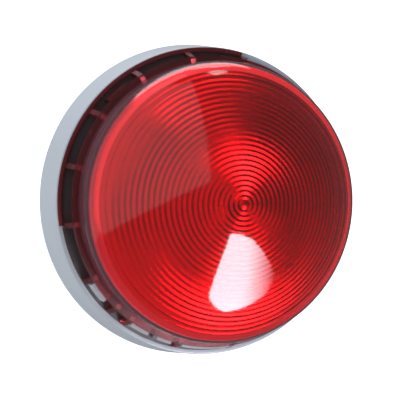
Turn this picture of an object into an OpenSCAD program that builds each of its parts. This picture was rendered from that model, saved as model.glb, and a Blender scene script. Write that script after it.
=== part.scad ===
// Wall sounder with a strobe beacon: a white mounting base, and a twist-off head
// that holds a black sounder body, a slotted red skirt and a red ringed lens.
//
// Every module is drawn with the wall at z = 0 and the front towards +Z.
// on_wall() then turns the whole part so that the front faces -Y and +Z is up.

/* [Base] */
// Outside diameter of the base at the wall
base_d = 104; // [98:1:126]
// Depth of the base from the wall to its front lip
base_h = 16.6; // [16:0.2:20]
// How much the radius of the base shrinks from the wall to the lip
base_draft = 1.6; // [0.8:0.1:2]
// Thickness of the base's side wall
base_wall = 2.0; // [1.6:0.1:2.6]
// Thickness of the base's floor
base_floor = 2.4; // [1.8:0.1:3]
// Width of the lip face round the front of the base
lip_w = 1.5; // [1.2:0.1:1.8]
// Distance between the two wall fixing holes
fixing_spacing = 60; // [50:1:66]
// Diameter of the wall fixing holes
fixing_d = 4.5; // [3.5:0.1:5.5]
// Diameter of the cable entry in the floor
cable_d = 14; // [10:0.5:18]
// Height of the cable entry above the centre of the base
cable_y = 17; // [14:0.5:20]

/* [Slotted skirt] */
// Number of evenly spaced pillars round the skirt
pillars = 16; // [12:1:20]
// Width of one pillar
pillar_w = 1.7; // [1.2:0.1:2.4]
// Height of the open slots
slot_h = 6.4; // [5:0.1:8]
// Thickness of the ring that carries the lens
ledge_t = 1.4; // [1.2:0.1:2]
// Thickness of the flange at the foot of the pillars
flange_t = 1.3; // [1:0.1:1.6]

/* [Lens] */
// Outside diameter of the lens at its foot
lens_d = 90.4; // [88:0.4:94]
// Wall thickness of the lens
lens_wall = 2.4; // [2:0.1:3]
// Height of the lens from its foot to its crown
lens_h = 29.2; // [24:0.2:36]
// Radius of the spherical crown
crown_r = 60; // [56:1:80]
// Radial pitch of the moulded rings inside the crown
ring_pitch = 1.53; // [1.3:0.01:2.4]
// Depth of the moulded rings
ring_depth = 0.5; // [0.2:0.05:0.8]

/* [Head] */
// Diameter of the black sounder body
body_d = 86; // [84:0.5:86]
// Wall thickness of the sounder body
body_wall = 2.0; // [1.6:0.1:2.4]
// Diameter of the piezo disc
piezo_d = 35; // [27:1:42]
// Diameter of the flash capacitor
cap_d = 10; // [8:0.5:12]
// Number of levers on the tone switch
levers = 6; // [4:1:8]
// How far one lever travels
lever_travel = 1.2; // [0.8:0.1:1.6]

/* [Bayonet] */
// How far the head turns to come free, in degrees
twist = 15; // [12:1:18]
// Length of one bayonet tab, in degrees
tab_arc = 12; // [9:1:12]
// Axial play of a tab under its lug
tab_play = 0.3; // [0.2:0.05:0.5]

/* [Hidden] */
$fn = 96;

// Clearances between pieces that fit together, and the overlap given to cuts
gap = 0.2;
slip = 0.1;
cut = 1;

// Radii of the base: at the wall, at the lip, inside the lip and inside the wall
base_r = base_d / 2;
lip_r = base_r - base_draft;
lip_in_r = lip_r - lip_w;
base_in_r = lip_in_r - 0.7;
base_back_in_r = base_r - base_wall;
// The shelf inside the wall that the seal lies on
shelf_t = 1.0;
shelf_in_r = lip_in_r - 2.3;
seal_t = 1.4;

// The body's flange turns in the lip, and the skirt's pillars stand on it under the ledge
flange_out_r = lip_in_r - slip;
pillar_in_r = flange_out_r - 2.4;
flange_z = base_h - flange_t + 0.3;
flange_top = flange_z + flange_t;
slot_top = flange_top + slot_h;
ledge_top = slot_top + ledge_t;
ledge_out_r = flange_out_r - 1.8;
pillar_step = 360 / pillars;
pillar_start = 8.6;
key_pillar = 226;
// The stretch of wide flange that laps over the lip, and the blanked-off slots
lap_from = 76;
lap_to = 188.6;
lap_t = 0.7;
foot_h = 1.2;
blank_panels = [[87, 97], [127, 137]];

// White baffles, which stand in some of the slots: from and to, in degrees
baffle_arcs = [[55, 74.5], [213, 221], [235.2, 243], [247, 253], [257.6, 277], [280, 299.6]];
baffle_top = slot_top - 1.2;

// Body of the sounder
body_r = body_d / 2;
body_in_r = body_r - body_wall;
body_floor_z = 10.8;
body_floor_t = 1.6;
body_top = slot_top;
// Sound ports through the body behind the slots
port_w = 6;
port_h = 3;
// Baffles stand on the body's flange, between one pillar and the next
baffle_out_r = flange_out_r - 0.9;
baffle_in_r = max(body_r + 0.8, pillar_in_r - 1.5);

// Trigger transformer: its winding, its foot and how deep the winding sits in it
trigger_d = 5.2;
trigger_l = 9;
trigger_foot_t = 1.2;
trigger_seat = 0.3;

// Bayonet: where each tab begins. Tabs are unevenly spaced, so the head fits one way only
tab_starts = [12, 150, 303];
tab_out_r = shelf_in_r - gap;
tab_z = 9.9;
tab_t = 1.4;
lug_in_r = body_r + 0.6;
// A lug ends this many degrees before the tab does once the head has turned, so the tab is clear of it
lug_free = 2;
lug_z = tab_z + tab_t + tab_play;
lug_t = base_h - 0.2 - flange_t - seal_t - lug_z;

// Lens profile
lens_r = lens_d / 2;
lens_in_r = lens_r - lens_wall;
lens_z = ledge_top;
lens_top = lens_z + lens_h;
lens_side_h = 6.6;
lens_draft = 0.6;
spigot_t = 1.4;
spigot_r = body_in_r - slip;
crown_z = lens_top - crown_r;
crown_in_r = crown_r - lens_wall;
crown_edge_r = lens_r - 3.2;

// Screw towers that hold the lens, skirt and body together
tower_angles = [75, 195, 315];
tower_r = 36;
tower_d = 5.6;
cover_screw_d = 2.4;
cover_screw_l = 15;

// Printed circuit board and what stands on it
board_r = body_in_r - 0.6;
board_t = 1.6;
board_z = body_floor_z + body_floor_t + 1.4;
board_top = board_z + board_t;
board_screw_angles = [20, 150, 289];
board_screw_r = 32;
board_screw_d = 2.4;
board_post_d = 5;

// Piezo sounder
piezo_r = piezo_d / 2;
piezo_t = 0.4;
ceramic_t = 0.3;
retainer_h = 1.4;
piezo_z = board_top + retainer_h;
deflector_z = slot_top - 2.6;
deflector_t = 1.4;
deflector_r = piezo_r + 2.5;

// Strobe
reflector_z = lens_z + 4.2;
reflector_t = 1.0;
reflector_r = lens_in_r - 2.4;
dish_r = 21.5;
dish_depth = reflector_z - slot_top - 0.9;
tube_r = 2.0;
tube_len = 38;
tube_z = reflector_z + 2.8;
lead_r = 0.5;
lead_x = max(tube_len / 2 + 1.4, piezo_r + 2.9);

// Tone switch and volume control, which face the wall through windows in the body's floor
lever_pitch = 2.54;
switch_w = levers * lever_pitch + 1.2;
switch_h = 6.2;
switch_y = -29;
switch_x = -1;
switch_t = board_z - body_floor_z - 0.4;
switch_z = board_z - switch_t;
slot_wide = 1.3;
lever_w = slot_wide - 2 * slip;
lever_l = 1.2;
lever_slot_l = lever_l + lever_travel + 2 * slip;
lever_depth = 1.2;
lever_proud = 0.9;
volume_x = 18;
volume_y = -24.5;
volume_w = 6.6;
rotor_r = 2.0;
rotor_proud = 0.4;

// Terminals on the base's floor
poles = 4;
pole_pitch = 6;
block_w = poles * pole_pitch + 1.6;
block_d = 10;
block_h = 6.4;
block_y = -18;
terminal_screw_d = 2.8;
// Spring contacts, and the tracks on the head that they press on
contact_angles = [36, 62, 118, 144];
contact_r = 27.5;
contact_w = 3;
track_t = 0.3;
track_extra = 4;
track_z = body_floor_z - track_t;
contact_gap = 0.15;

// ---- Shapes that repeat -------------------------------------------------------------

// Turns the part so that its front faces -Y
module on_wall() {
    rotate([90, 0, 0]) children();
}

// A tube between two radii and two heights
module ring(out_r, in_r, z, h) {
    translate([0, 0, z]) difference() {
        cylinder(r = out_r, h = h);
        translate([0, 0, -cut]) cylinder(r = in_r, h = h + 2 * cut);
    }
}

// A wedge of the plane, used to keep one stretch of a ring
module sector(from, to, r, z, h) {
    mid = (from + to) / 2;
    half = (to - from) / 2;
    far = r / cos(half / 2) + cut;
    translate([0, 0, z]) linear_extrude(h) polygon([
        [0, 0],
        far * [cos(from), sin(from)],
        far * [cos(mid - half / 2), sin(mid - half / 2)] / cos(half / 4),
        far * [cos(mid), sin(mid)],
        far * [cos(mid + half / 2), sin(mid + half / 2)] / cos(half / 4),
        far * [cos(to), sin(to)]
    ]);
}

// A stretch of a tube between two angles
module arc_ring(out_r, in_r, z, h, from, to) {
    intersection() {
        ring(out_r, in_r, z, h);
        sector(from, to, out_r + cut, z - cut, h + 2 * cut);
    }
}

// Children placed at a radius and angle
module at(r, angle) {
    rotate([0, 0, angle]) translate([r, 0, 0]) children();
}

// A pan-head screw: the head's underside is at z = 0 and the shank runs towards +Z
module screw(d, l) {
    head_h = d * 0.6;
    difference() {
        union() {
            cylinder(d = d, h = l);
            translate([0, 0, -head_h]) cylinder(d1 = d * 1.5, d2 = d * 1.9, h = head_h);
        }
        for (turn = [0, 90]) rotate([0, 0, turn])
            translate([-d * 0.6, -d * 0.11, -head_h - cut]) cube([d * 1.2, d * 0.22, cut + d * 0.3]);
    }
}

// A plate with square corners, centred in X and Y
module block(w, d, h, z) {
    translate([-w / 2, -d / 2, z]) cube([w, d, h]);
}

// ---- Base ---------------------------------------------------------------------------

module base_shell() {
    edge = 0.6;
    lip_round = [for (a = [0 : 15 : 90]) [lip_r - edge + edge * cos(a), base_h - edge + edge * sin(a)]];
    rotate_extrude() polygon(concat(
        [[0, 0], [base_r - edge, 0], [base_r, edge]],
        lip_round,
        [[lip_in_r, base_h], [lip_in_r, flange_z - seal_t],
         [shelf_in_r, flange_z - seal_t], [shelf_in_r, flange_z - seal_t - shelf_t],
         [base_in_r, flange_z - seal_t - shelf_t - 1.4], [base_back_in_r - 0.4, base_floor],
         [0, base_floor]]
    ));
}

module mounting_base() {
    color("whitesmoke") difference() {
        union() {
            base_shell();
            // Lugs that hold the head's bayonet tabs, each with a stop at one end
            for (start = tab_starts) {
                arc_ring(base_in_r + 0.3, lug_in_r, lug_z, lug_t, start - 1, start + twist - lug_free);
                arc_ring(base_back_in_r - 0.2, lug_in_r, base_floor - 0.1, lug_z + lug_t - base_floor + 0.1,
                         start - 2.6, start - 0.8);
            }
            // Bosses round the fixing holes, and walls that hold the terminal block
            for (side = [-1, 1]) translate([side * fixing_spacing / 2, 0, base_floor - 0.1])
                cylinder(d = fixing_d + 6, h = 1.3);
            for (side = [-1, 1]) translate([side * (block_w / 2 + 0.9 + slip), block_y, 0])
                block(1.6, block_d, 3, base_floor - 0.1);
            translate([0, cable_y, base_floor - 0.1]) cylinder(d = cable_d + 4, h = 1.1);
        }
        for (side = [-1, 1]) translate([side * fixing_spacing / 2, 0, -cut])
            cylinder(d = fixing_d, h = base_h);
        translate([0, cable_y, -cut]) cylinder(d = cable_d, h = base_h);
        // Shallow relief pockets in the back
        for (a = [45 : 90 : 315]) at(36, a) translate([0, 0, -cut]) cylinder(r = 6, h = cut + 0.8);
    }
}

module seal_ring() {
    color("dimgray") ring(lip_in_r - slip, shelf_in_r + 0.3, flange_z - seal_t, seal_t - 0.2);
}

module terminal_block() {
    color("gray") translate([0, block_y, 0]) difference() {
        union() {
            block(block_w, block_d, block_h, base_floor);
            for (n = [0 : poles]) translate([(n - poles / 2) * pole_pitch, -block_d / 4, 0])
                block(1.2, block_d / 2, 0.6, base_floor + block_h);
        }
        for (n = [0 : poles - 1]) translate([(n - (poles - 1) / 2) * pole_pitch, 0, base_floor]) {
            // The pocket for the cage, the wire's way in, and the screwdriver's
            translate([-2.2, -block_d / 2 - cut, 1.0]) cube([4.4, block_d / 2 + cut + 2.4, 4]);
            translate([0, 0, 4]) cylinder(d = terminal_screw_d + 1.4, h = block_h);
        }
    }
}

module each_pole() {
    for (n = [0 : poles - 1])
        translate([(n - (poles - 1) / 2) * pole_pitch, block_y, base_floor]) children();
}

module terminal_cages() {
    color("goldenrod") each_pole() difference() {
        translate([-2.0, -2.2, 1.1]) cube([4.0, 4.4, 3.6]);
        translate([-1.3, -2.2 - cut, 1.7]) cube([2.6, 4.4 + 2 * cut, 1.9]);
        translate([0, 0, 2.7]) cylinder(d = terminal_screw_d, h = 3);
    }
}

module terminal_screws() {
    color("silver") each_pole() difference() {
        translate([0, 0, 2.8]) cylinder(d = terminal_screw_d - 0.1, h = 3.0);
        translate([-terminal_screw_d, -0.3, 5.2]) cube([2 * terminal_screw_d, 0.6, 2]);
    }
}

// Each spring is a folded blade: a foot on the floor, a riser and a tongue that ends under its track
module contact_springs() {
    blade = 0.5;
    tip = track_z - contact_gap;
    color("gold") for (a = contact_angles) at(contact_r, a)
        rotate([90, 0, 0]) translate([0, 0, -contact_w / 2]) linear_extrude(contact_w) polygon([
            [-4, base_floor], [3, base_floor], [3, base_floor + blade], [-4 + blade, base_floor + blade],
            [-4 + blade, tip - 2.6], [1.4, tip - blade], [2.4, tip - 1.6], [2.4 + blade, tip - 1.4],
            [1.6, tip], [1.0, tip], [-4, tip - 2.4]
        ]);
}

// ---- Sounder body and board ------------------------------------------------------------

module switch_window() {
    translate([switch_x, switch_y, 0])
        block(switch_w + 2 * gap, switch_h + 2 * gap, body_floor_t + 2 * cut, body_floor_z - cut);
}

module sounder_body() {
    floor_top = body_floor_z + body_floor_t;
    color("black") difference() {
        union() {
            rotate_extrude() polygon([
                [0, body_floor_z], [body_r - 0.8, body_floor_z], [body_r, body_floor_z + 0.8],
                [body_r, flange_z], [flange_out_r, flange_z], [flange_out_r, flange_top],
                [body_r, flange_top],
                [body_r, body_top], [body_in_r, body_top], [body_in_r, floor_top + 1],
                [body_in_r - 1, floor_top],
                [0, floor_top]
            ]);
            for (start = tab_starts)
                arc_ring(tab_out_r, body_in_r - 1.6, tab_z, tab_t, start, start + tab_arc);
            for (a = tower_angles) at(tower_r, a) translate([0, 0, body_floor_z + 0.4])
                cylinder(d = tower_d, h = body_top - body_floor_z - 0.4);
            for (a = board_screw_angles) at(board_screw_r, a) translate([0, 0, body_floor_z + 0.4])
                cylinder(d = board_post_d, h = board_z - body_floor_z - 0.4);
        }
        for (a = tower_angles) at(tower_r, a) translate([0, 0, body_floor_z - cut])
            cylinder(d = cover_screw_d + 2 * slip, h = body_top);
        for (a = board_screw_angles) at(board_screw_r, a) translate([0, 0, body_floor_z - cut])
            cylinder(d = board_screw_d + 2 * slip, h = body_top);
        // Sound ports behind the slots
        for (n = [0 : pillars - 1]) rotate([0, 0, pillar_start + (n + 0.5) * pillar_step])
            translate([body_in_r - 1.4, -port_w / 2, slot_top - 4.4]) cube([body_wall + 3, port_w, port_h]);
        switch_window();
        translate([volume_x, volume_y, body_floor_z - cut])
            cylinder(r = rotor_r + 0.8, h = body_floor_t + 2 * cut);
    }
}

module slot_baffles() {
    color("white") for (f = baffle_arcs)
        arc_ring(baffle_out_r, baffle_in_r, flange_top, baffle_top - flange_top, f[0], f[1]);
}

module main_board() {
    color("darkgreen") difference() {
        translate([0, 0, board_z]) cylinder(r = board_r, h = board_t);
        for (a = tower_angles) at(tower_r, a) translate([0, 0, board_z - cut])
            cylinder(d = tower_d + 2 * gap, h = board_t + 2 * cut);
        for (a = board_screw_angles) at(board_screw_r, a) translate([0, 0, board_z - cut])
            cylinder(d = board_screw_d + 2 * slip, h = board_t + 2 * cut);
        for (side = [-1, 1]) translate([side * lead_x, 0, board_z - cut])
            cylinder(r = lead_r + slip, h = board_t + 2 * cut);
    }
}

// Solder pads and a ground ring printed on the board's front
module board_pads() {
    pad_t = 0.1;
    color("silver") {
        for (a = [100 : 8 : 172]) at(board_r - 3, a)
            translate([0, 0, board_top]) cylinder(d = 2, h = pad_t);
        for (a = [280 : 8 : 304]) at(board_r - 3, a)
            translate([0, 0, board_top]) cylinder(d = 2, h = pad_t);
    }
}

// The board's screws enter from the front
module board_screws() {
    color("silver") for (a = board_screw_angles) at(board_screw_r, a)
        translate([0, 0, board_top]) rotate([180, 0, 0])
            screw(board_screw_d, board_top - body_floor_z - 0.4);
}

// The cover's screws enter from the wall side and cut into the lens's bosses
module cover_screws() {
    color("silver") for (a = tower_angles) at(tower_r, a)
        translate([0, 0, body_floor_z]) screw(cover_screw_d, cover_screw_l);
}

module contact_tracks() {
    color("gold") for (a = contact_angles)
        arc_ring(contact_r + 3.4, contact_r - 1.0, track_z, track_t,
                 a - track_extra, a + track_extra);
}

// ---- Sounder and strobe parts -------------------------------------------------------------

module piezo_retainer() {
    foot = 0.9;
    color("dimgray") difference() {
        ring(piezo_r + 1.6, piezo_r - foot, board_top, retainer_h + piezo_t + 1);
        translate([0, 0, piezo_z]) cylinder(r = piezo_r + slip, h = 4);
    }
}

module piezo_plate() {
    color("goldenrod") translate([0, 0, piezo_z]) cylinder(r = piezo_r, h = piezo_t);
}

module piezo_ceramic() {
    color("white") translate([0, 0, piezo_z + piezo_t]) cylinder(r = piezo_r * 0.7, h = ceramic_t);
}

// A plate with a central cone turns the sound outwards to the slots
module horn_deflector() {
    foot_r = deflector_r + 0.2;
    color("black") {
        difference() {
            union() {
                translate([0, 0, deflector_z]) cylinder(r = deflector_r + 2, h = deflector_t);
                translate([0, 0, deflector_z - 1.2]) cylinder(r1 = 2, r2 = 8, h = 1.2);
                for (a = [90, 210, 330]) at(foot_r + 0.3, a)
                    translate([0, 0, board_top]) cylinder(d = 2.6, h = deflector_z - board_top + 0.1);
            }
            for (side = [-1, 1]) translate([side * lead_x, 0, deflector_z - 3])
                cylinder(r = lead_r + 2 * gap, h = 8);
        }
    }
}

// The capacitor, coil and transformer lie or stand on the board round the horn
module flash_capacitor() {
    cap_l = 17;
    color("navy") translate([-cap_l / 2 - 5, deflector_r + 3.5 + cap_d / 2, board_top + cap_d / 2 + 0.2])
        rotate([0, 90, 0]) difference() {
            cylinder(d = cap_d, h = cap_l);
            translate([0, 0, cap_l - 0.3]) cylinder(d = cap_d - 2.4, h = 1);
            rotate_extrude() translate([cap_d / 2 + 0.1, 1.8]) circle(r = 0.5, $fn = 24);
        }
}

module inverter_coil() {
    color("darkorange") translate([-29.5, 9, 0]) {
        translate([0, 0, board_top]) cylinder(d = 9, h = 1);
        translate([0, 0, board_top + 1]) cylinder(d = 6.6, h = 3.6);
        translate([0, 0, board_top + 4.6]) cylinder(d = 9, h = 1);
    }
}

module trigger_transformer() {
    color("khaki") translate([29.5, -8, 0]) {
        block(7, trigger_l, trigger_foot_t, board_top);
        // The winding sits in a shallow seat in its foot
        translate([0, trigger_l / 2, board_top + trigger_foot_t + trigger_d / 2 - trigger_seat])
            rotate([90, 0, 0]) cylinder(d = trigger_d, h = trigger_l);
    }
}

module power_transistor() {
    color("dimgray") translate([-26, -8, 0]) {
        block(6.5, 6, 2.3, board_top);
        translate([-4.2, 0, 0]) block(2, 5, 0.6, board_top);
    }
}

module controller_chip() {
    color("black") translate([-15, -27.5, 0]) {
        block(9, 4, 1.5, board_top + 0.1);
        for (n = [-3 : 3]) translate([n * 1.27, 0, 0]) block(0.4, 6, 0.5, board_top);
    }
}

// Two insulated leads from the board to the piezo
module wire_links() {
    wire_r = 0.6;
    hop_r = 2.2;
    color("red") for (side = [-1, 1]) translate([side * 4, -piezo_r - 4.6, board_top])
        rotate([0, 0, 90]) rotate([90, 0, 0]) intersection() {
            rotate_extrude() translate([hop_r, 0]) circle(r = wire_r, $fn = 24);
            translate([-10, 0, -10]) cube([20, 20, 20]);
        }
}

module reflector() {
    rim_h = 2.2;
    color("silver") difference() {
        rotate_extrude() polygon([
            [0, reflector_z - dish_depth], [5, reflector_z - dish_depth],
            [dish_r * 0.72, reflector_z - dish_depth * 0.62], [dish_r, reflector_z],
            [reflector_r - 2, reflector_z], [reflector_r, reflector_z + rim_h],
            [reflector_r, reflector_z + rim_h + 0.8],
            [reflector_r - 2.6, reflector_z + reflector_t], [dish_r - 0.4, reflector_z + reflector_t],
            [dish_r * 0.7, reflector_z - dish_depth * 0.62 + reflector_t],
            [4.6, reflector_z - dish_depth + reflector_t], [0, reflector_z - dish_depth + reflector_t]
        ]);
        for (side = [-1, 1]) translate([side * lead_x, 0, reflector_z - dish_depth - cut])
            cylinder(r = lead_r + 2 * gap, h = dish_depth + 4);
    }
}

module flash_tube() {
    color("lightcyan") translate([-tube_len / 2, 0, tube_z]) rotate([0, 90, 0]) difference() {
        cylinder(r = tube_r, h = tube_len);
        translate([0, 0, -cut]) cylinder(r = tube_r - 0.7, h = tube_len + 2 * cut);
    }
}

module tube_caps() {
    color("silver") for (side = [-1, 1]) scale([1, 1, 1]) mirror([side < 0 ? 1 : 0, 0, 0])
        translate([tube_len / 2, 0, tube_z]) rotate([0, 90, 0]) {
            cylinder(r = tube_r, h = 0.8);
            translate([0, 0, -3]) cylinder(r = tube_r - 0.9, h = 3);
        }
}

module tube_leads() {
    arm_r = 0.35;
    color("silver") for (side = [-1, 1]) {
        translate([side * lead_x, 0, board_z]) cylinder(r = lead_r, h = tube_z - board_z + 0.8);
        translate([side * (tube_len / 2 + 0.8), 0, tube_z]) rotate([0, side * 90, 0])
            cylinder(r = arm_r, h = lead_x - tube_len / 2 - 0.8);
    }
}

// A saddle under the middle of the tube
module tube_stand() {
    stand_bottom = reflector_z - dish_depth + reflector_t;
    color("white") difference() {
        block(3, 6, tube_z - stand_bottom, stand_bottom);
        translate([-5, 0, tube_z]) rotate([0, 90, 0]) cylinder(r = tube_r + 0.02, h = 10);
    }
}

// ---- Skirt and lens -------------------------------------------------------------------------

// The outline of one pillar, from its foot on the body's flange up to the ledge
module pillar_profile() {
    polygon([
        [pillar_in_r, flange_top], [flange_out_r, flange_top], [flange_out_r, flange_top + foot_h],
        [ledge_out_r - 0.1, slot_top + 0.1], [pillar_in_r - 1.4, slot_top + 0.1],
        [pillar_in_r, slot_top - 1.3]
    ]);
}

module slotted_skirt() {
    color("firebrick") {
        ring(ledge_out_r, body_in_r, slot_top, ledge_t);
        for (n = [0 : pillars - 1]) rotate([90, 0, pillar_start + n * pillar_step])
            translate([0, 0, -pillar_w / 2]) linear_extrude(pillar_w) pillar_profile();
        rotate([90, 0, key_pillar]) translate([0, 0, -pillar_w / 2])
            linear_extrude(pillar_w) pillar_profile();
        arc_ring(lip_r - 0.4, flange_out_r - 0.5, flange_top, lap_t, lap_from, lap_to);
        for (p = blank_panels)
            arc_ring(pillar_in_r + 1, pillar_in_r, flange_top, slot_h + 0.1, p[0], p[1]);
    }
}

function on_crown(r, radius) = crown_z + sqrt(radius * radius - r * r);

// The shoulder arc starts on the crown's edge and ends on the drafted side wall
shoulder_top = on_crown(crown_edge_r, crown_r);
shoulder_low = lens_z + lens_side_h;
function shoulder(t) = let (
        a = [crown_edge_r, shoulder_top],
        b = [lens_r - lens_draft * 0.6, lens_z + lens_side_h + (shoulder_top - shoulder_low) * 0.62],
        c = [lens_r - lens_draft * 0.5, shoulder_low]
    ) a * pow(1 - t, 2) + b * 2 * t * (1 - t) + c * pow(t, 2);

// Triangular rings inside the crown, from the edge to the middle
ring_count = floor((crown_edge_r - 2.4) / ring_pitch);
function ring_point(i) = let (r = (ring_count - i / 2 + 0.5) * ring_pitch)
    [r, on_crown(r, crown_in_r) + (i % 2 == 0 ? 0 : -ring_depth)];

module lens() {
    crown = [for (a = [0 : 2 : asin(crown_edge_r / crown_r) - 1])
        [crown_r * sin(a), crown_z + crown_r * cos(a)]];
    side = [for (t = [0 : 0.125 : 1]) shoulder(t)];
    rings = [for (i = [0 : 2 * ring_count]) ring_point(i)];
    inner_top = ring_point(0)[1];
    color("red") {
        difference() {
            union() {
                rotate_extrude() polygon(concat(
                    crown, side,
                    [[lens_r, lens_z], [spigot_r - spigot_t, lens_z], [lens_in_r - 0.4, lens_z + 2.6],
                     [lens_in_r - 0.6, shoulder_low], [lens_in_r - 1.2, inner_top - 2.6]],
                    rings,
                    [[0, on_crown(0, crown_in_r)]]
                ));
                ring(spigot_r, spigot_r - spigot_t, lens_z - ledge_t, ledge_t + 0.4);
                for (a = tower_angles) at(tower_r, a) translate([0, 0, body_top])
                    cylinder(d = tower_d, h = reflector_z - body_top);
                for (a = tower_angles) rotate([0, 0, a]) translate([tower_r, -0.8, lens_z])
                    cube([lens_in_r - tower_r - 0.2, 1.6, 2.4]);
            }
            for (a = tower_angles) at(tower_r, a) translate([0, 0, body_floor_z])
                cylinder(d = cover_screw_d, h = cover_screw_l + 0.6);
        }
    }
}

// ---- Controls that face the wall ----------------------------------------------------------------

function lever_x(n) = switch_x + (n - (levers + 1) / 2) * lever_pitch;

module switch_body() {
    color("crimson") difference() {
        translate([switch_x, switch_y, 0]) block(switch_w, switch_h, switch_t, switch_z);
        for (n = [1 : levers])
            translate([lever_x(n) - slot_wide / 2, switch_y - lever_slot_l / 2, switch_z - cut])
            cube([slot_wide, lever_slot_l, cut + lever_depth + slip]);
    }
}

// At rest each lever stands at the lower end of its slot
module lever(n) {
    if (n <= levers)
        color("white")
            translate([lever_x(n) - lever_w / 2, switch_y - lever_slot_l / 2 + slip, switch_z - lever_proud])
            cube([lever_w, lever_l, lever_proud + lever_depth]);
}

module volume_body() {
    color("royalblue") difference() {
        translate([volume_x, volume_y, 0])
            block(volume_w, volume_w, board_z - body_floor_z - body_floor_t - 0.1,
                body_floor_z + body_floor_t + 0.1);
        translate([volume_x, volume_y, body_floor_z])
            cylinder(r = rotor_r + 0.05, h = board_z - body_floor_z - 0.4);
    }
}

module volume_rotor() {
    rotor_z = body_floor_z - rotor_proud;
    color("ivory") translate([volume_x, volume_y, rotor_z]) difference() {
        cylinder(r = rotor_r, h = board_z - 0.5 - rotor_z);
        translate([-rotor_r * 0.75, -0.35, -cut]) cube([rotor_r * 1.5, 0.7, cut + 0.7]);
        translate([-0.35, -rotor_r * 0.75, -cut]) cube([0.7, rotor_r * 0.75, cut + 0.7]);
    }
}

// ---- Nodes ----------------------------------------------------------------------------------------

on_wall() mounting_base();
on_wall() seal_ring();
on_wall() terminal_block();
on_wall() terminal_screws();
on_wall() terminal_cages();
on_wall() contact_springs();
on_wall() sounder_body();
on_wall() slot_baffles();
on_wall() slotted_skirt();
on_wall() lens();
on_wall() cover_screws();
on_wall() main_board();
on_wall() board_screws();
on_wall() board_pads();
on_wall() contact_tracks();
on_wall() piezo_plate();
on_wall() piezo_ceramic();
on_wall() piezo_retainer();
on_wall() horn_deflector();
on_wall() flash_capacitor();
on_wall() inverter_coil();
on_wall() trigger_transformer();
on_wall() power_transistor();
on_wall() controller_chip();
on_wall() wire_links();
on_wall() reflector();
on_wall() flash_tube();
on_wall() tube_caps();
on_wall() tube_leads();
on_wall() tube_stand();
on_wall() switch_body();
on_wall() lever(1);  // lever_1
on_wall() lever(2);  // lever_2
on_wall() lever(3);  // lever_3
on_wall() lever(4);  // lever_4
on_wall() lever(5);  // lever_5
on_wall() lever(6);  // lever_6
on_wall() volume_body();
on_wall() volume_rotor();
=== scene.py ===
# %% [markdown]
# # A wall sounder with a strobe
#
# The object is a round alarm for a wall. A white base holds a head that twists off. The head has a
# black sounder behind a ring of slots, and a red clear lens over a flash tube. The exact shapes
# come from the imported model, so this lesson adds the finishes, the finer moulding of the lens, the
# light and the camera.

# %% Load the exact model
import math

import bmesh
import bpy
from mathutils import Matrix, Vector


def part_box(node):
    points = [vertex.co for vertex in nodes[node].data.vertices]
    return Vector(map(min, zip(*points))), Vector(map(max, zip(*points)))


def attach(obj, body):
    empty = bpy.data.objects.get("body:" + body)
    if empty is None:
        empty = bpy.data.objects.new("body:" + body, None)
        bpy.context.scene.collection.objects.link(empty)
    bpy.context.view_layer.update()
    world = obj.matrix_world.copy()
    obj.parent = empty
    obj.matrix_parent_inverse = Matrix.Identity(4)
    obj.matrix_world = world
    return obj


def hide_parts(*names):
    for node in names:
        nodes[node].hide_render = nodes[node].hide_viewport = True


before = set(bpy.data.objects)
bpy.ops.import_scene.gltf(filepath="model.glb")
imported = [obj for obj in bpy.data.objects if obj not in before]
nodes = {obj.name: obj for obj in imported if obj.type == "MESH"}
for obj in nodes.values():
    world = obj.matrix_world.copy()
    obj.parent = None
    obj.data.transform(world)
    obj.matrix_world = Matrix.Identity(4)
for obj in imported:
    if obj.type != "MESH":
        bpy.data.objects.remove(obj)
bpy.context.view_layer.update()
scene = bpy.context.scene
scene.view_settings.view_transform = "Standard"

# %% [markdown]
# ## The frame
#
# The wall is the plane y = 0 and the front faces -Y. Every round piece is turned about the Y axis.
# The boxes of the nodes give the sizes that the finer pieces need.

# %% Sizes read from the model
MM = 0.001
lens_low, lens_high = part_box("lens")
LENS_RADIUS = lens_high[0]
LENS_TOP = -lens_low[1]
LENS_FOOT = 24.7 * MM
LENS_WALL = 2.4 * MM
print("lens radius %.1f mm, crown %.1f mm from the wall" % (LENS_RADIUS / MM, LENS_TOP / MM))


# %% [markdown]
# ## The camera
#
# The camera looks at the front from a little to the left and from slightly above. A long lens keeps
# the round base nearly free of perspective.

# %% Camera
VIEW_AZIMUTH, VIEW_ELEVATION = math.radians(-18.716), math.radians(1.923)
CAMERA_DISTANCE = 500 * MM
AIM = Vector((0, -3.967, 0)) * MM
SIDE_STEP, UP_STEP = 1.95 * MM, -0.123 * MM
FOCAL_LENGTH = 134.37

right = Vector((math.cos(VIEW_AZIMUTH), math.sin(VIEW_AZIMUTH), 0))
back = Vector((math.sin(VIEW_AZIMUTH) * math.cos(VIEW_ELEVATION),
               -math.cos(VIEW_AZIMUTH) * math.cos(VIEW_ELEVATION), math.sin(VIEW_ELEVATION)))
up = back.cross(right)
camera_data = bpy.data.cameras.new("studio_camera")
camera_data.lens = FOCAL_LENGTH
camera_data.sensor_width = 36
camera_data.clip_start = 0.01
camera = bpy.data.objects.new("studio_camera", camera_data)
scene.collection.objects.link(camera)
turn = Matrix((right, up, back)).transposed().to_4x4()
place = AIM + SIDE_STEP * right + UP_STEP * up + CAMERA_DISTANCE * back
camera.matrix_world = Matrix.Translation(place) @ turn
scene.camera = camera
print("camera at", [round(v, 4) for v in camera.matrix_world.translation])

# %% [markdown]
# ## Shader maths
#
# A finish is a sheet of nodes. Two small classes keep the sheets readable. `Value` wraps one
# socket, so that adding or multiplying two of them adds a Math node. `Sheet` adds every other node
# in one way: its type, its settings, and then the values or links of its sockets.


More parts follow.
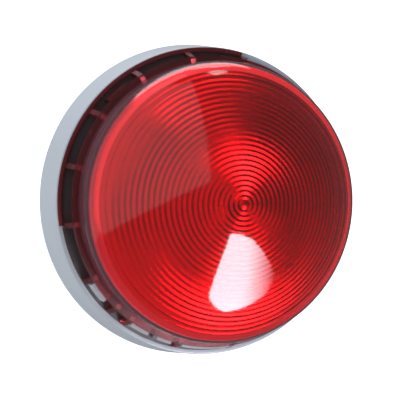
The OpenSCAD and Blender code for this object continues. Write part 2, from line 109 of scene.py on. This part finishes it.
# %% Value and Sheet
class Value:
    def __init__(self, sheet, socket):
        self.sheet, self.socket = sheet, socket

    def maths(self, operation, *numbers):
        node = self.sheet.add("ShaderNodeMath", {"operation": operation}, dict(enumerate(numbers)))
        return Value(self.sheet, node.outputs[0])

    def __add__(self, other): return self.maths("ADD", self, other)
    def __radd__(self, other): return self.maths("ADD", other, self)
    def __sub__(self, other): return self.maths("SUBTRACT", self, other)
    def __rsub__(self, other): return self.maths("SUBTRACT", other, self)
    def __mul__(self, other): return self.maths("MULTIPLY", self, other)
    def __rmul__(self, other): return self.maths("MULTIPLY", other, self)
    def __truediv__(self, other): return self.maths("DIVIDE", self, other)
    def __pow__(self, other): return self.maths("POWER", self, other)

    def clamped(self, low=0.0, high=1.0):
        return self.maths("MINIMUM", self.maths("MAXIMUM", self, low), high)

    def step(self, start, end):
        node = self.sheet.add("ShaderNodeMapRange", {"interpolation_type": "SMOOTHSTEP"},
                              {"Value": self, "From Min": start, "From Max": end})
        return Value(self.sheet, node.outputs[0])


class Sheet:
    def __init__(self, name):
        self.material = bpy.data.materials.new(name)
        self.material.use_nodes = True
        self.tree = self.material.node_tree
        self.tree.nodes.clear()

    def add(self, kind, settings=None, sockets=None):
        node = self.tree.nodes.new(kind)
        for key, setting in (settings or {}).items():
            if key == "stops":
                ramp = node.color_ramp.elements
                while len(ramp) < len(setting):
                    ramp.new(0.5)
                for stop, (place, colour) in zip(ramp, setting):
                    stop.position, stop.color = place, (*colour, 1)
            else:
                setattr(node, key, setting)
        for key, value in (sockets or {}).items():
            self.join(self.socket(node, key), value)
        return node

    def socket(self, node, key):
        if isinstance(key, int):
            return node.inputs[key]
        named = [s for s in node.inputs if s.identifier == key] or [s for s in node.inputs if s.name == key]
        return named[0]

    def join(self, socket, value):
        if isinstance(value, Value):
            self.tree.links.new(value.socket, socket)
        elif isinstance(value, bpy.types.NodeSocket):
            self.tree.links.new(value, socket)
        elif isinstance(value, tuple) and len(value) == 3 and socket.type == "RGBA":
            socket.default_value = (*value, 1)
        else:
            socket.default_value = value

    def place(self):
        return self.add("ShaderNodeTexCoord").outputs["Object"]

    def stretched(self, place, scale):
        node = self.add("ShaderNodeVectorMath", {"operation": "MULTIPLY"}, {0: place, 1: scale})
        return node.outputs[0]

    def noise(self, place, size, detail=3.0, roughness=0.55, seed=0.0):
        node = self.add("ShaderNodeTexNoise", {"noise_dimensions": "4D"},
                        {"Vector": place, "W": seed, "Scale": 1 / size, "Detail": detail,
                         "Roughness": roughness})
        return Value(self, node.outputs[0])

    def blend(self, mask, first, second, mode="MIX"):
        node = self.add("ShaderNodeMix", {"data_type": "RGBA", "blend_type": mode},
                        {"Factor_Float": mask, "A_Color": first, "B_Color": second})
        return next(s for s in node.outputs if s.identifier == "Result_Color")

    def bump(self, height, depth, strength=1.0):
        node = self.add("ShaderNodeBump", {}, {"Strength": strength, "Distance": depth, "Height": height})
        return node.outputs[0]

    def surface(self, **sockets):
        names = {key.replace("_", " "): value for key, value in sockets.items()}
        shader = self.add("ShaderNodeBsdfPrincipled", {}, names)
        self.add("ShaderNodeOutputMaterial", {}, {"Surface": shader.outputs[0]})
        return self.material


print("shader helpers ready")

# %% [markdown]
# ## Moulded plastics
#
# A moulded part is never one flat colour. Its tone drifts a little where the melt flowed, its gloss
# follows the polish of the mould, and a fine spark-eroded grain stands on it. Handling leaves faint
# rubbed streaks. One recipe with a few numbers serves all the opaque plastics.


# %% Recipe for opaque plastic
def moulded(name, colour, shade, gloss, grain=0.35 * MM, relief=0.006 * MM, coat=0.0, seed=1.0):
    s = Sheet(name)
    place = s.place()
    flow = s.noise(place, 38 * MM, 2, 0.5, seed).step(0.35, 0.65)
    grit = s.noise(place, grain, 2, 0.6, seed + 3)
    rubbed = s.noise(s.stretched(place, (1, 1, 6)), 9 * MM, 4, 0.65, seed + 7).step(0.58, 0.72)
    tone = s.blend(flow, colour, shade)
    tone = s.blend(grit * 0.08, tone, tuple(0.6 * c for c in shade))
    roughness = (gloss + 0.06 * grit + 0.10 * rubbed).clamped()
    return s.surface(Base_Color=tone, Roughness=roughness, IOR=1.52, Coat_Weight=coat, Coat_Roughness=0.12,
                     Normal=s.bump(grit + 0.5 * rubbed, relief))


print("moulded() ready")

# %% [markdown]
# ## Metals
#
# Plated steel, brass and gilt contacts share a recipe: a metallic colour, fine drawn lines, a
# duller bloom of handling, and tiny pits. The mirror finish inside the lamp is the same with nearly
# no relief.


# %% Recipe for metal
def metal(name, colour, bloom, gloss, lines=0.25 * MM, relief=0.004 * MM, seed=1.0):
    s = Sheet(name)
    place = s.place()
    dull = s.noise(place, 7 * MM, 3, 0.6, seed).step(0.45, 0.75)
    drawn = s.noise(s.stretched(place, (1, 9, 1)), lines, 2, 0.5, seed + 2)
    pits = s.noise(place, 0.5 * MM, 2, 0.6, seed + 5).step(0.68, 0.74)
    tone = s.blend(dull * 0.6, colour, bloom)
    tone = s.blend(pits * 0.5, tone, tuple(0.45 * c for c in bloom))
    roughness = (gloss + 0.10 * dull + 0.08 * drawn + 0.15 * pits).clamped()
    return s.surface(Base_Color=tone, Metallic=1.0, Roughness=roughness, Normal=s.bump(drawn - pits, relief))


print("metal() ready")

# %% [markdown]
# ## Clear red plastic
#
# The lens and the skirt are one dyed polycarbonate. Light passes through it, so it glows where
# something white or mirrored stands behind it and goes dark over black. It still has a glossy skin
# that shows the lamps of the studio.


# %% Recipe for clear red plastic
def clear_red(name, dye, body, clear=0.85, flash=0.0, gloss=0.05, skin=0.5, seed=1.0):
    s = Sheet(name)
    place = s.place()
    flow = s.noise(place, 30 * MM, 2, 0.5, seed).step(0.3, 0.7)
    haze = s.noise(place, 0.9 * MM, 3, 0.6, seed + 4)
    rubbed = s.noise(s.stretched(place, (4, 1, 1)), 6 * MM, 4, 0.7, seed + 9).step(0.6, 0.75)
    tone = s.blend(flow, dye, body)
    roughness = (gloss + 0.04 * haze + 0.05 * rubbed).clamped()
    return s.surface(Base_Color=tone, Roughness=roughness, IOR=1.58, Transmission_Weight=clear,
                     Metallic=flash, Specular_IOR_Level=skin, Normal=s.bump(haze, 0.004 * MM))


print("clear_red() ready")

# %% [markdown]
# ## Give every node its finish
#
# The carried-over nodes keep their exact shape, so a finish only takes over their material slot.

# %% Finishes
WHITE = moulded("white_shell", (0.63, 0.69, 0.765), (0.60, 0.66, 0.74), 0.32, coat=0.15, seed=1)
FINISHES = {
    WHITE: ["mounting_base", "slot_baffles"],
    moulded("black_shell", (0.052, 0.044, 0.046), (0.066, 0.056, 0.059), 0.42, seed=2):
        ["sounder_body", "horn_deflector"],
    moulded("seal_rubber", (0.035, 0.035, 0.037), (0.055, 0.055, 0.055), 0.75, 0.7 * MM, 0.03 * MM, seed=3):
        ["seal_ring"],
    moulded("terminal_plastic", (0.20, 0.22, 0.21), (0.26, 0.28, 0.27), 0.45, seed=4): ["terminal_block"],
    moulded("grey_nylon", (0.09, 0.09, 0.10), (0.13, 0.13, 0.14), 0.5, seed=5): ["piezo_retainer"],
    moulded("chip_epoxy", (0.02, 0.02, 0.024), (0.04, 0.04, 0.045), 0.55, 0.2 * MM, seed=6):
        ["controller_chip", "power_transistor"],
    moulded("capacitor_sleeve", (0.015, 0.025, 0.09), (0.02, 0.035, 0.13), 0.25, coat=0.4, seed=7):
        ["flash_capacitor"],
    moulded("yellow_tape", (0.75, 0.55, 0.10), (0.62, 0.44, 0.08), 0.35, 1.2 * MM, seed=8):
        ["trigger_transformer"],
    moulded("wire_sleeve", (0.55, 0.02, 0.02), (0.42, 0.015, 0.02), 0.35, seed=9): ["wire_links"],
    moulded("silicone", (0.80, 0.80, 0.78), (0.72, 0.72, 0.70), 0.55, seed=10): ["tube_stand"],
    moulded("switch_red", (0.45, 0.02, 0.03), (0.36, 0.015, 0.02), 0.35, seed=11): ["switch_body"],
    moulded("lever_white", (0.82, 0.82, 0.80), (0.74, 0.74, 0.72), 0.4, seed=12):
        ["lever_%d" % n for n in range(1, 7)] + ["volume_rotor"],
    moulded("control_blue", (0.03, 0.11, 0.38), (0.025, 0.09, 0.30), 0.35, seed=13): ["volume_body"],
    moulded("ceramic", (0.78, 0.76, 0.70), (0.68, 0.66, 0.60), 0.6, 0.15 * MM, seed=14): ["piezo_ceramic"],
    moulded("board_laminate", (0.015, 0.12, 0.045), (0.03, 0.20, 0.08), 0.3, 1.6 * MM, coat=0.5, seed=15):
        ["main_board"],
    metal("plated_steel", (0.70, 0.71, 0.73), (0.55, 0.56, 0.58), 0.22, seed=16):
        ["terminal_screws", "cover_screws", "board_screws", "tube_leads", "tube_caps", "board_pads"],
    metal("terminal_brass", (0.78, 0.58, 0.26), (0.60, 0.42, 0.18), 0.3, seed=17):
        ["terminal_cages", "piezo_plate"],
    metal("gilt_contact", (0.90, 0.68, 0.30), (0.75, 0.52, 0.20), 0.2, seed=18):
        ["contact_springs", "contact_tracks"],
    metal("copper_winding", (0.70, 0.28, 0.11), (0.52, 0.18, 0.07), 0.3, 0.3 * MM, 0.05 * MM, seed=19):
        ["inverter_coil"],
    metal("mirror_plastic", (0.88, 0.89, 0.90), (0.82, 0.83, 0.84), 0.06, 0.8 * MM, 0.002 * MM, seed=20):
        ["reflector"],
}
SKIRT_RED = clear_red("skirt_red", (0.60, 0.07, 0.09), (0.54, 0.06, 0.08), 0.9, 0.0, 0.22, 0.25, seed=21)
FINISHES[SKIRT_RED] = ["slotted_skirt"]
for finish, names in FINISHES.items():
    for name in names:
        node = nodes[name]
        node.data.materials.clear()
        node.data.materials.append(finish)
print("finished", sum(len(names) for names in FINISHES.values()), "nodes")

# %% [markdown]
# ## The flash tube's glass
#
# The tube is clear hard glass, thin enough to keep its own reflections crisp.

# %% Glass of the tube
s = Sheet("tube_glass")
film = s.noise(s.place(), 3 * MM, 3, 0.6, 30)
nodes["flash_tube"].data.materials.clear()
nodes["flash_tube"].data.materials.append(s.surface(
    Base_Color=s.blend(film, (0.95, 0.98, 1.0), (0.88, 0.93, 0.96)), Roughness=0.02 + 0.05 * film, IOR=1.47,
    Transmission_Weight=1.0, Normal=s.bump(film, 0.002 * MM)))
print("tube glass ready")

# %% [markdown]
# ## The lens
#
# A lens of this kind is smooth outside and has fine prism rings moulded inside, which spread the
# flash. The exact model holds the rings as plain cones. Here the whole section is drawn again with
# more points and turned about the axis, so that the outside is truly smooth and each ring has its
# own sharp ridge. The rim is coloured a paler pink, a painted sheen for the pale reflection there.

# %% Section of the lens
CROWN_SPHERE = 60 * MM
CROWN_EDGE = LENS_RADIUS - 3.2 * MM
SIDE_HEIGHT, SIDE_DRAFT = 6.6 * MM, 0.6 * MM
RING_PITCH, RING_DEPTH, RING_COUNT = 1.53 * MM, 0.24 * MM, 26
SPIGOT_OUTER, SPIGOT_INNER, SPIGOT_LENGTH = 40.9 * MM, 39.5 * MM, 1.4 * MM
CROWN_STEPS, SHOULDER_STEPS = 60, 16
FOOT_CHAMFER = 0.2 * MM
INNER_STEP = 2.6 * MM
INNER_DRAFT_LOW, INNER_DRAFT_HIGH = 0.4 * MM, 0.6 * MM


def crown(radius, sphere=CROWN_SPHERE):
    return LENS_TOP - CROWN_SPHERE + math.sqrt(sphere ** 2 - radius ** 2)


def shoulder(t):
    top, low = crown(CROWN_EDGE), LENS_FOOT + SIDE_HEIGHT
    points = ((CROWN_EDGE, top), (LENS_RADIUS - 0.6 * SIDE_DRAFT, low + 0.62 * (top - low)),
              (LENS_RADIUS - 0.5 * SIDE_DRAFT, low))
    shares = ((1 - t) ** 2, 2 * t * (1 - t), t ** 2)
    return tuple(sum(k * p[axis] for k, p in zip(shares, points)) for axis in (0, 1))


outside = [(CROWN_EDGE * i / CROWN_STEPS, crown(CROWN_EDGE * i / CROWN_STEPS)) for i in range(CROWN_STEPS)]
# The painted sheen of the paler rim begins a little way down the shoulder
PAINTED_SHEEN_START = len(outside) + 5
outside += [shoulder(i / SHOULDER_STEPS) for i in range(SHOULDER_STEPS + 1)]
outside += [(LENS_RADIUS, LENS_FOOT + FOOT_CHAMFER), (LENS_RADIUS - FOOT_CHAMFER, LENS_FOOT)]
inner_radius = LENS_RADIUS - LENS_WALL
inside = [(SPIGOT_OUTER, LENS_FOOT), (SPIGOT_OUTER, LENS_FOOT - SPIGOT_LENGTH),
          (SPIGOT_INNER, LENS_FOOT - SPIGOT_LENGTH), (SPIGOT_INNER, LENS_FOOT),
          (inner_radius - INNER_DRAFT_LOW, LENS_FOOT + INNER_STEP),
          (inner_radius - INNER_DRAFT_HIGH, LENS_FOOT + SIDE_HEIGHT)]
RINGS_START = len(inside)
for i in range(2 * RING_COUNT + 1):
    radius = (RING_COUNT - i / 2 + 0.5) * RING_PITCH
    dip = RING_DEPTH if i % 2 else 0
    inside.append((radius, crown(radius, CROWN_SPHERE - LENS_WALL) - dip))
inside.append((0, crown(0, CROWN_SPHERE - LENS_WALL)))
print("lens section of", len(outside) + len(inside), "points")

# %% [markdown]
# Turning a section about the Y axis is done once for the lens, and the result is smooth except
# where two stretches of the section meet at an angle.


# %% Turn a section about the axis
def turned(name, section, steps=192, sharp_angle=20, stretches=((0, 0),)):
    mesh = bmesh.new()
    rings = []
    for radius, height in section:
        if radius < 1e-7:
            rings.append([mesh.verts.new((0, -height, 0))] * steps)
            continue
        angles = [2 * math.pi * i / steps for i in range(steps)]
        rings.append([mesh.verts.new((radius * math.cos(a), -height, radius * math.sin(a))) for a in angles])
    for row, (low, high) in enumerate(zip(rings, rings[1:])):
        for i in range(steps):
            corners = [low[i], low[(i + 1) % steps], high[(i + 1) % steps], high[i]]
            corners = [c for n, c in enumerate(corners) if c not in corners[:n]]
            if len(corners) > 2:
                face = mesh.faces.new(corners)
                face.material_index = [slot for start, slot in stretches if row >= start][-1]
    bmesh.ops.recalc_face_normals(mesh, faces=mesh.faces)
    for face in mesh.faces:
        face.smooth = True
    for edge in mesh.edges:
        edge.smooth = edge.calc_face_angle(0) < math.radians(sharp_angle)
    data = bpy.data.meshes.new(name)
    mesh.to_mesh(data)
    mesh.free()
    piece = bpy.data.objects.new(name, data)
    scene.collection.objects.link(piece)
    return piece


lens = turned("lens_moulding", outside + inside,
              stretches=((0, 0), (PAINTED_SHEEN_START, 2), (len(outside), 0), (len(outside) + RINGS_START - 1, 1)))
lens.data.materials.append(clear_red("lens_red", (0.90, 0.10, 0.12), (0.86, 0.08, 0.10), 1.0, seed=22))
lens.data.materials.append(
    clear_red("prism_red", (0.92, 0.05, 0.05), (0.88, 0.04, 0.045), 1.0, 0.9, 0.19, seed=23))
# The rim's paler pink colour is a painted sheen, not a colour of the plastic
lens.data.materials.append(
    clear_red("rim_painted_sheen_red", (0.90, 0.34, 0.44), (0.84, 0.30, 0.40), 0.9, gloss=0.10, seed=24))
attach(lens, "head")
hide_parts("lens")
print("lens faces", len(lens.data.polygons))

# %% [markdown]
# ## Studio
#
# The object hangs in front of a pale sweep, far enough away to leave no shadow on it. The wall of
# the sweep glows evenly, as a lit paper background does, and its floor is plain pale paper. It is
# kept out of reflections, so that the dome shows only the lamps.


# %% Sweep
FLOOR_HEIGHT, WALL_PLACE, BEND = -0.34, 0.9, 0.35
FLOOR_FRONT, WALL_TOP, HALF_WIDTH = -3.0, 1.6, 2.2
BEND_STEPS = 12


def sheet_of(name, rows):
    mesh = bmesh.new()
    grid = [[mesh.verts.new(corner) for corner in row] for row in rows]
    for low, high in zip(grid, grid[1:]):
        for i in range(len(low) - 1):
            mesh.faces.new((low[i], low[i + 1], high[i + 1], high[i])).smooth = True
    data = bpy.data.meshes.new(name)
    mesh.to_mesh(data)
    mesh.free()
    piece = bpy.data.objects.new(name, data)
    scene.collection.objects.link(piece)
    return piece


path = [(FLOOR_FRONT, FLOOR_HEIGHT), (WALL_PLACE - BEND, FLOOR_HEIGHT)]
for i in range(1, BEND_STEPS + 1):
    a = math.pi / 2 * i / BEND_STEPS
    path.append((WALL_PLACE - BEND + BEND * math.sin(a), FLOOR_HEIGHT + BEND - BEND * math.cos(a)))
path.append((WALL_PLACE, WALL_TOP))
backdrop = sheet_of("sweep", [[(x, y, z) for x in (-HALF_WIDTH, HALF_WIDTH)] for y, z in path])
s = Sheet("pale_sweep")
place = s.place()
mottle = s.noise(place, 0.4, 2, 0.5, 40)
height = Value(s, s.add("ShaderNodeSeparateXYZ", {}, {0: place}).outputs["Z"])
glow = height.step(FLOOR_HEIGHT, FLOOR_HEIGHT + 0.08)
backdrop.data.materials.append(s.surface(
    Base_Color=s.blend(mottle, (0.86, 0.86, 0.86), (0.84, 0.84, 0.845)), Roughness=0.9,
    Emission_Color=s.blend(glow, (0, 0, 0), (1, 1, 1)), Emission_Strength=1.0))
backdrop.visible_glossy = False
print("sweep ready")

# %% [markdown]
# ## Soft lamps
#
# A glossy dome shows the shape of every lamp, so each lamp is a glowing sheet of fabric whose
# outline is given as directions from the object: degrees to the right of straight ahead, and
# degrees above it. The big one covers the upper left, two light the rings from above and behind,
# and a small bright one stands low in front. The small one fades towards its right side and only
# shows as a highlight, so it adds no light of its own to the white base.


# %% Glowing sheets
def direction(azimuth, elevation):
    a, e = math.radians(azimuth), math.radians(elevation)
    return Vector((math.sin(a) * math.cos(e), -math.cos(a) * math.cos(e), math.sin(e)))


def softbox(name, rows, distance, strength, colour=(1, 1, 1), fills=True, fade=None):
    piece = sheet_of(name, [[direction(*place) * distance for place in row] for row in rows])
    s = Sheet(name + "_fabric")
    weave = s.noise(s.place(), 0.02, 2, 0.5, 50)
    glow = s.blend(weave, colour, tuple(0.96 * c for c in colour))
    if fade:
        across = Value(s, s.add("ShaderNodeSeparateXYZ", {}, {0: s.place()}).outputs["X"])
        glow = s.blend(across.step(*fade), glow, (0, 0, 0))
    piece.data.materials.append(s.surface(Base_Color=(0, 0, 0), Roughness=1.0, Emission_Color=glow,
                                          Emission_Strength=strength))
    piece.visible_camera = False
    piece.visible_diffuse = fills
    return piece


softbox("left_softbox", [
    [(-2, 12), (-21, 4), (-46, -8), (-60, -14), (-78, -21), (-100, -21)],
    [(-2, 40), (-21, 40), (-46, 40), (-60, 38), (-78, 35), (-100, 30)],
    [(-2, 80), (-21, 78), (-46, 75), (-60, 70), (-78, 65), (-100, 60)]], 1.4, 0.8, (0.95, 0.97, 1.0))
softbox("overhead_panel", [[(95, 60), (140, 52), (180, 50), (220, 52), (265, 60)],
                           [(95, 87), (140, 87), (180, 87), (220, 87), (265, 87)]], 0.85, 3.0)
softbox("top_right_panel", [[(58, 76), (76, 72), (95, 68)], [(58, 88), (76, 88), (95, 88)]], 0.85, 5.0)
softbox("low_softbox", [
    [(9, -18), (15, -18), (24, -21), (33, -27)],
    [(6, -30), (20, -31), (36, -33), (50, -38)],
    [(4, -42), (20, -44), (38, -46), (54, -48)],
    [(3, -54), (20, -57), (36, -58), (48, -57)],
    [(6, -59), (18, -64), (30, -65), (40, -62)]], 0.36, 17.0, (1.0, 0.93, 1.03), False, (0.10, 0.23))
world = bpy.data.worlds.new("studio")
world.use_nodes = True
world.node_tree.nodes["Background"].inputs["Color"].default_value = (0.93, 0.96, 1.0, 1)
world.node_tree.nodes["Background"].inputs["Strength"].default_value = 0.2
scene.world = world
print("lamps ready")
